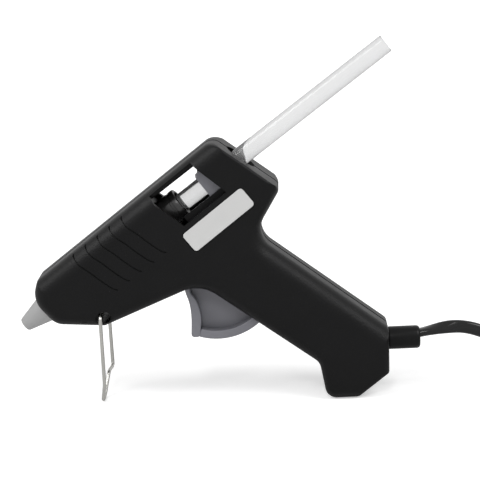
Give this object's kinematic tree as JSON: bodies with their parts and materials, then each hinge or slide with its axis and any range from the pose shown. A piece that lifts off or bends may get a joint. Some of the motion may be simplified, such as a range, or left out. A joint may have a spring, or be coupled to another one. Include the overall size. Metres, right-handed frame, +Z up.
{
  "type": "mini hot glue applicator",
  "caption": "Pistol-shaped hot glue applicator: cone nozzle, trigger-fed glue stick seen through a side window, folding wire stand, and a cord tied in a hank, with its plug.",
  "frame": {"origin": "on the floor, under the middle of the applicator from nozzle tip to strain relief, in its mirror plane", "axes": "+X from the nozzle towards the handle's heel, +Z up, -Y towards the label's side"},
  "size_m": [0.3026, 0.049, 0.1361],
  "materials": {
    "housing": "matte moulded black with a fine grain",
    "label": "bare light label",
    "screw": "zinc-plated steel",
    "nozzle": "cast aluminium",
    "collar": "light silicone",
    "wire": "nickel-plated",
    "film": "amber insulating film",
    "contact": "stamped brass",
    "heater": "fired ceramic, taken as hard plastic",
    "lead": "heat-proof lead sleeving",
    "sleeve": "black moulded rubber",
    "trigger": "grey plastic, low sheen",
    "glue": "clear hot-melt glue",
    "cord": "black cord jacket"
  },
  "bodies": {
    "housing": {"left_shell": "housing", "right_shell": "housing", "label_plate": "label", "shell_screw_1": "screw", "shell_screw_2": "screw", "shell_screw_3": "screw", "shell_screw_4": "screw", "shell_screw_5": "screw", "nozzle": "nozzle", "nozzle_collar": "collar", "ball_spring": "screw", "melting_barrel": "nozzle", "insulating_film": "film", "electrode_plate_upper": "contact", "electrode_plate_lower": "contact", "ptc_heater": "heater", "heater_clip": "screw", "terminal_upper": "contact", "terminal_lower": "contact", "lead_wire_upper": "lead", "lead_wire_lower": "lead", "inlet_sleeve": "sleeve", "sleeve_clamp": "screw", "trigger_pin": "screw", "strain_relief": "sleeve", "cord_clamp": "housing", "clamp_screw_1": "screw", "clamp_screw_2": "screw", "cord": "cord", "cord_coil": "cord", "cord_tie": "cord", "plug_body": "cord", "plug_pin_1": "wire", "plug_pin_2": "wire"},
    "trigger": {"trigger": "trigger", "return_spring": "screw"},
    "gripper": {"gripper": "trigger"},
    "glue_stick": {"glue_stick": "glue"},
    "stand": {"stand_wire": "wire"},
    "check_ball": {"check_ball": "wire"}
  },
  "joints": [
    {"name": "trigger_pull", "type": "hinge", "parent": "housing", "child": "trigger", "pos_m": [0.00391, 0, 0.051], "axis": [0, -1, 0], "range_deg": [0, 14], "stiffness_Nm_per_rad": 0.5, "springref_deg": -14.32, "deforming": ["return_spring"]},
    {"name": "gripper_slide", "type": "slide", "parent": "housing", "child": "gripper", "axis": [-0.8136, 0, -0.5815], "range_m": [0, 0.0089]},
    {"name": "stick_feed", "type": "slide", "parent": "housing", "child": "glue_stick", "axis": [-0.8136, 0, -0.5815], "range_m": [-0.018, 0.048]},
    {"name": "stand_fold", "type": "hinge", "parent": "housing", "child": "stand", "pos_m": [-0.0442, 0, 0.0369], "axis": [0, 1, 0], "range_deg": [0, 95]},
    {"name": "check_ball_lift", "type": "slide", "parent": "housing", "child": "check_ball", "axis": [-0.8136, 0, -0.5815], "range_m": [0, 0.0006], "stiffness_N_per_m": 30}
  ],
  "couplings": [
    {"joint": "gripper_slide", "follows": "trigger_pull", "m_per_rad": 0.0358}
  ]
}
